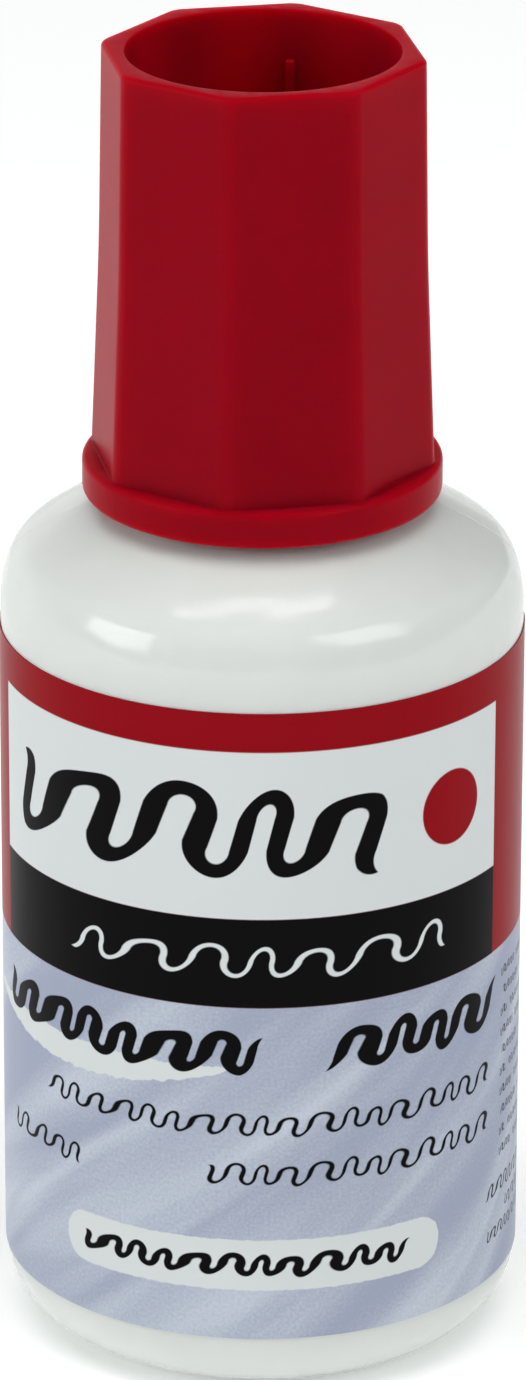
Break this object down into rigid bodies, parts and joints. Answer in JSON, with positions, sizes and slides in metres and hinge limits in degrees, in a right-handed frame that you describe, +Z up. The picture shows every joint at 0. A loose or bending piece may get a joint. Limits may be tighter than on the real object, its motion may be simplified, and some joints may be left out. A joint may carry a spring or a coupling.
{
  "type": "correction fluid bottle",
  "caption": "Round white bottle of correction fluid with a wrap-round label and a tall red octagonal screw cap, open at the top, that carries a brush on a stem.",
  "frame": {"origin": "Middle of the base, on the surface that the bottle stands on.", "axes": "+Z runs up the bottle's axis to the cap; -Y is the front, where the label's middle faces; +X is to the right as seen from the front."},
  "size_m": [0.0322, 0.0322, 0.082],
  "materials": {
    "bottle_white": "glossy milky white blown polyethylene",
    "label_film": "printed film label, satin",
    "fluid_white": "thick white fluid, wet",
    "ball_steel": "polished steel",
    "liner_foam": "white closed-cell foam",
    "stem_white": "satin moulded plastic",
    "staple_brass": "plain drawn wire",
    "bristle_nylon": "fine nylon filaments",
    "cap_red": "glossy moulded polypropylene, deep red"
  },
  "bodies": {
    "flask": {"bottle": "bottle_white", "label": "label_film", "correction_fluid": "fluid_white", "mixing_ball": "ball_steel"},
    "liner": {"seal_liner": "liner_foam"},
    "brush": {"brush_stem": "stem_white", "brush_staple": "staple_brass", "brush_bristles": "bristle_nylon"},
    "cap": {"cap": "cap_red"}
  },
  "joints": [
    {"name": "cap_lift", "type": "slide", "parent": "flask", "child": "liner", "axis": [0, 0, 1], "range_m": [0, 0.066]},
    {"name": "cap_rise", "type": "slide", "parent": "liner", "child": "brush", "axis": [0, 0, 1], "range_m": [0, 0.0048]},
    {"name": "cap_turn", "type": "hinge", "parent": "brush", "child": "cap", "pos_m": [0, 0, 0.06], "axis": [0, 0, 1], "range_deg": [0, 576]}
  ],
  "couplings": [
    {"joint": "cap_rise", "follows": "cap_turn", "m_per_rad": 0.00047746}
  ]
}
